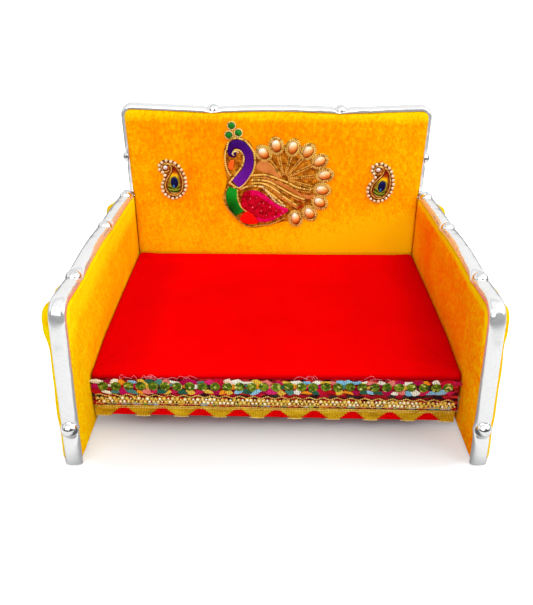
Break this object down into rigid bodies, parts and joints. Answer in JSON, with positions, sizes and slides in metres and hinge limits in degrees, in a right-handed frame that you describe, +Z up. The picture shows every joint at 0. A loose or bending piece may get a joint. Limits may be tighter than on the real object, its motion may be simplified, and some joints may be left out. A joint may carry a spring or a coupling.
{
  "type": "deity seat",
  "caption": "Small velvet-covered seat for a household idol, with a back rest, arms, padded seat, half-round metal trim, laced front and an embroidered peacock.",
  "frame": {"origin": "on the floor, under the middle of the whole seat", "axes": "+X across the seat to its own left as seen from the front, +Y from its front to its back, +Z up"},
  "size_m": [0.266, 0.2375, 0.1723],
  "materials": {
    "board": "bare fibre board, matt",
    "foam": "thin open foam, matt",
    "marigold_velvet": "short pile velvet, soft sheen",
    "red_velvet": "short pile velvet, soft sheen",
    "bright_trim": "bright plated metal, mirror",
    "nail_wire": "drawn wire",
    "bright_lace": "many-coloured embroidered ribbon",
    "gold_lace": "ribbed gold ribbon with red steps",
    "green_sequin": "cupped sequin, glossy",
    "gold_cord": "twisted gold thread over wire",
    "peach_net": "sheer net over the velvet",
    "purple_satin": "satin stitch, silky",
    "green_satin": "satin stitch, silky",
    "orange_satin": "satin stitch, silky",
    "crimson_satin": "satin stitch with tiny sequins",
    "peach_pearl": "pearl drop, glossy",
    "green_gem": "round gem, glossy",
    "brooch_base": "cast gilt base",
    "brooch_bead": "small bead, glossy",
    "brooch_enamel": "coloured enamel, glossy",
    "blue_stone": "dark oval stone, glossy"
  },
  "bodies": {
    "root": {"back_board": "board", "back_dome_nails": "bright_trim", "back_nails": "nail_wire", "back_padding": "foam", "back_trim_left_corner": "bright_trim", "back_trim_left_low": "bright_trim", "back_trim_right_corner": "bright_trim", "back_trim_right_low": "bright_trim", "back_trim_top": "bright_trim", "back_velvet": "marigold_velvet", "front_gold_cord": "gold_cord", "front_lace": "bright_lace", "front_ring_beads": "gold_cord", "front_sequins": "green_sequin", "gold_lace": "gold_lace", "left_arm_board": "board", "left_arm_dome_nails": "bright_trim", "left_arm_padding": "foam", "left_arm_trim_corner": "bright_trim", "left_arm_trim_foot": "bright_trim", "left_arm_trim_long": "bright_trim", "left_arm_trim_middle": "bright_trim", "left_arm_trim_rear": "bright_trim", "left_arm_velvet": "marigold_velvet", "left_paisley_base": "brooch_base", "left_paisley_beads": "brooch_bead", "left_paisley_enamel": "brooch_enamel", "left_paisley_stone": "blue_stone", "peacock_beak": "orange_satin", "peacock_belly": "orange_satin", "peacock_breast": "green_satin", "peacock_cords": "gold_cord", "peacock_crest_gems": "green_gem", "peacock_crest_rims": "gold_cord", "peacock_neck": "purple_satin", "peacock_net": "peach_net", "peacock_pearl_rims": "gold_cord", "peacock_pearls": "peach_pearl", "peacock_wing": "crimson_satin", "right_arm_board": "board", "right_arm_dome_nails": "bright_trim", "right_arm_padding": "foam", "right_arm_trim_corner": "bright_trim", "right_arm_trim_foot": "bright_trim", "right_arm_trim_long": "bright_trim", "right_arm_trim_middle": "bright_trim", "right_arm_trim_rear": "bright_trim", "right_arm_velvet": "marigold_velvet", "right_paisley_base": "brooch_base", "right_paisley_beads": "brooch_bead", "right_paisley_enamel": "brooch_enamel", "right_paisley_stone": "blue_stone", "seat_board": "board", "seat_foam": "foam", "seat_nails": "nail_wire", "seat_velvet": "red_velvet"}
  },
  "joints": []
}
